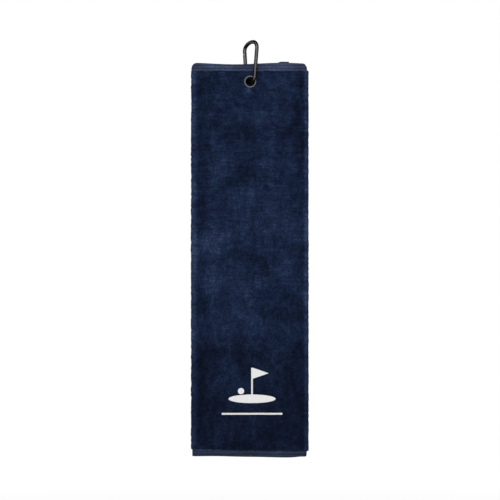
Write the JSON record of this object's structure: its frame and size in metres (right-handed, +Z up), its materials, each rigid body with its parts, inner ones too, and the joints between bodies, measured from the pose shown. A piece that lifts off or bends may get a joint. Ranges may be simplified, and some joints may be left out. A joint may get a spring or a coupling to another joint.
{
  "type": "golf towel",
  "caption": "Navy tri-fold cotton golf towel with flat woven hems, a metal eyelet through its top and a spring-gate carabiner to hang it from a bag.",
  "frame": {"origin": "underside of the carabiner's top bend, straight above the eyelet: the point that a bag's ring carries", "axes": "+Z up, along the hanging towel's length; +X to the towel's right; -Y the way the printed face looks, so +Y is through the folded cloth"},
  "size_m": [0.1494, 0.0261, 0.5301],
  "materials": {
    "gunmetal": "dark gunmetal plating, semi-gloss",
    "steel": "bare spring steel, satin",
    "velour": "navy cotton velour, soft sheared pile",
    "hem_cloth": "flat woven navy hem, no pile",
    "thread": "navy polyester sewing thread",
    "white_ink": "matt white textile print"
  },
  "bodies": {
    "carabiner": {"carabiner_body": "gunmetal"},
    "gate": {"carabiner_gate": "gunmetal", "gate_hinge_pin": "steel", "gate_latch_pin": "steel", "gate_spring": "steel"},
    "plunger": {"gate_plunger": "steel"},
    "towel": {"eyelet_barrel": "gunmetal", "eyelet_washer": "gunmetal", "centre_panel": "velour", "left_fold": "velour", "right_fold": "velour", "top_hem": "hem_cloth", "bottom_hem": "hem_cloth", "left_flap_root": "velour", "left_flap_root_side_hem": "hem_cloth", "right_flap_root": "velour", "right_flap_root_side_hem": "hem_cloth", "top_hem_thread": "thread", "bottom_hem_thread": "thread", "printed_flag": "white_ink", "printed_ball": "white_ink", "printed_rule": "white_ink"},
    "left_flap": {"left_flap": "velour", "left_flap_side_hem": "hem_cloth", "left_flap_bottom_hem": "hem_cloth", "left_flap_bottom_thread": "thread", "left_flap_side_thread": "thread"},
    "right_flap": {"right_flap": "velour", "right_flap_side_hem": "hem_cloth", "right_flap_bottom_hem": "hem_cloth", "right_flap_bottom_thread": "thread", "right_flap_side_thread": "thread"}
  },
  "joints": [
    {"name": "gate_hinge", "type": "hinge", "parent": "carabiner", "child": "gate", "pos_m": [-0.00574, 0.0079, -0.0322], "axis": [0.809, 0.5878, 0], "range_deg": [0, 18], "stiffness_Nm_per_rad": 0.02, "springref_deg": -17.19},
    {"name": "plunger_slide", "type": "slide", "parent": "gate", "child": "plunger", "axis": [-0.0563, 0.0775, 0.9954], "range_m": [0, 0.0005], "deforming": ["gate_spring"]},
    {"name": "towel_swing", "type": "hinge", "parent": "carabiner", "child": "towel", "pos_m": [0, 0, -0.0474], "axis": [0, 1, 0], "range_deg": [-35, 35]},
    {"name": "left_flap_hinge", "type": "hinge", "parent": "towel", "child": "left_flap", "pos_m": [-0.071, 0.00295, -0.1154], "axis": [0, 0, 1], "range_deg": [0, 90], "stiffness_Nm_per_rad": 0.002},
    {"name": "right_flap_hinge", "type": "hinge", "parent": "towel", "child": "right_flap", "pos_m": [0.07128, 0, -0.1154], "axis": [0, 0, -1], "range_deg": [0, 15], "stiffness_Nm_per_rad": 0.002}
  ],
  "couplings": [
    {"joint": "plunger_slide", "follows": "gate_hinge", "m_per_rad": 0.00143},
    {"joint": "right_flap_hinge", "follows": "left_flap_hinge", "ratio": 0.16667}
  ]
}
